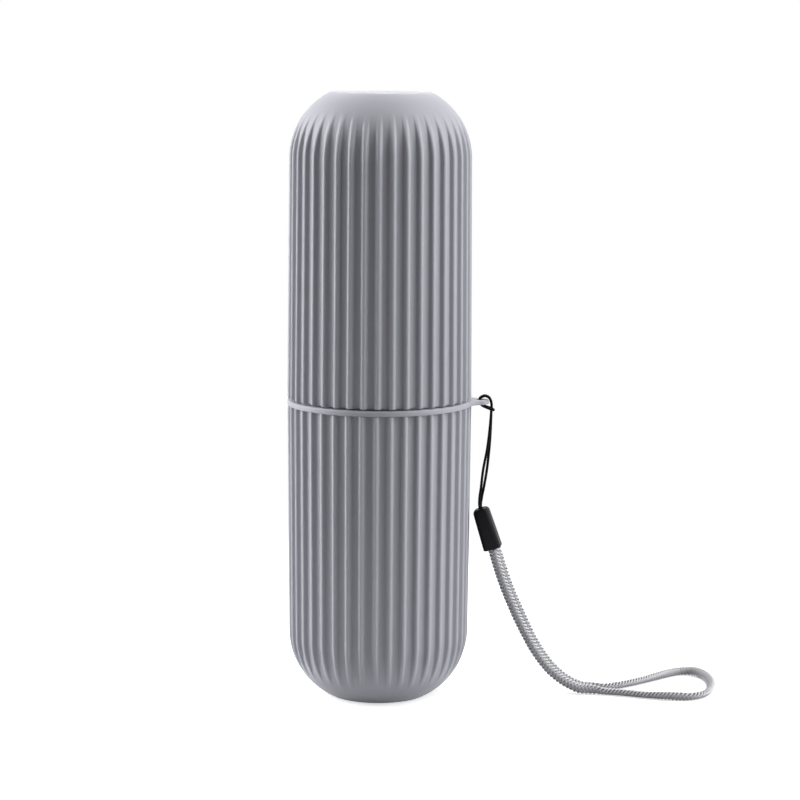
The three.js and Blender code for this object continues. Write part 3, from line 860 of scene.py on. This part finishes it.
def make_case():
    grey_plastic = moulded_plastic("grey_plastic", SHELL_COLOUR, SHELL_COLOUR_DEEP, *SHELL_FINISH)
    cup = make_object("cup_moulding", *cup_mesh(), grey_plastic)
    cut(cup, eyelet_cutter(grey_plastic))
    cap = make_object("cap_moulding", *cap_mesh(), grey_plastic)
    cap.matrix_world = Matrix.Rotation(CAP_TURN, 4, "Z")
    for shell, node in ((cup, "cup"), (cap, "cap")):
        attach(shell, node)
        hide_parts(node)


def make_stage():
    half = FLOOR_SIZE / 2
    corners = [(-half, -half, 0), (half, -half, 0), (half, half, 0), (-half, half, 0)]
    floor = make_object("floor", corners, [(0, 1, 2, 3)], floor_material())
    for name, (azimuth, height, distance, width, tall, power) in LAMPS.items():
        angle = math.radians(azimuth)
        place = Vector((distance * math.sin(angle), -distance * math.cos(angle), height))
        add_lamp(name, place, (width, tall), power)
    make_world()


def add_lamp(name, place, size, power):
    """A rectangular lamp that faces the middle of the case."""
    data = bpy.data.lights.new(name, "AREA")
    data.shape = "RECTANGLE"
    data.size, data.size_y = size
    data.energy = power
    lamp = bpy.data.objects.new(name, data)
    bpy.context.scene.collection.objects.link(lamp)
    lamp.location = place
    lamp.rotation_euler = (Vector((0, 0, PARTING)) - place).to_track_quat("-Z", "Y").to_euler()


def seen_directly(nodes, links):
    """1 for rays from the camera, from mirrors and through glass."""
    path = nodes.new("ShaderNodeLightPath")
    total = path.outputs["Is Camera Ray"]
    for kind in ("Is Glossy Ray", "Is Transmission Ray"):
        add = nodes.new("ShaderNodeMath")
        add.operation = "MAXIMUM"
        links.new(total, add.inputs[0])
        links.new(path.outputs[kind], add.inputs[1])
        total = add.outputs[0]
    return total


def floor_material():
    """A pale floor that fades to plain white away from the object and keeps its shadow close by."""
    material = bpy.data.materials.new("pale_floor")
    material.use_nodes = True
    nodes, links = material.node_tree.nodes, material.node_tree.links
    nodes.remove(nodes["Principled BSDF"])
    diffuse, bounce = (nodes.new("ShaderNodeBsdfDiffuse") for _ in range(2))
    diffuse.inputs["Color"].default_value = FLOOR_COLOUR
    lift, plain = (nodes.new("ShaderNodeEmission") for _ in range(2))
    lift.inputs["Strength"].default_value = FLOOR_LIFT
    lifted = nodes.new("ShaderNodeAddShader")
    links.new(diffuse.outputs[0], lifted.inputs[0])
    links.new(lift.outputs[0], lifted.inputs[1])
    place = nodes.new("ShaderNodeTexCoord")
    reach = nodes.new("ShaderNodeVectorMath")
    reach.operation = "LENGTH"
    links.new(place.outputs["Object"], reach.inputs[0])
    fade = nodes.new("ShaderNodeMapRange")
    fade.interpolation_type = "SMOOTHSTEP"
    fade.inputs["From Min"].default_value, fade.inputs["From Max"].default_value = FLOOR_SHADOW_REACH
    links.new(reach.outputs["Value"], fade.inputs["Value"])
    add_colours(
        nodes, links, fade.outputs["Result"], FLOOR_BOUNCE_NEAR, FLOOR_BOUNCE_FAR, bounce.inputs["Color"]
    )
    near_far, seen = (nodes.new("ShaderNodeMixShader") for _ in range(2))
    links.new(fade.outputs["Result"], near_far.inputs["Fac"])
    links.new(lifted.outputs[0], near_far.inputs[1])
    links.new(plain.outputs[0], near_far.inputs[2])
    links.new(seen_directly(nodes, links), seen.inputs["Fac"])
    links.new(bounce.outputs[0], seen.inputs[1])
    links.new(near_far.outputs[0], seen.inputs[2])
    links.new(seen.outputs[0], nodes["Material Output"].inputs["Surface"])
    return material


def make_world():
    world = bpy.data.worlds.new("white_room")
    bpy.context.scene.world = world
    world.use_nodes = True
    nodes, links = world.node_tree.nodes, world.node_tree.links
    background = nodes["Background"]
    background.inputs["Color"].default_value = WHITE
    spread = add_range(nodes, links, seen_directly(nodes, links), *ROOM_STRENGTH)
    links.new(spread, background.inputs["Strength"])


make_camera()
make_lanyard()
make_case()
make_stage()
bpy.context.scene.view_settings.view_transform = "Standard"
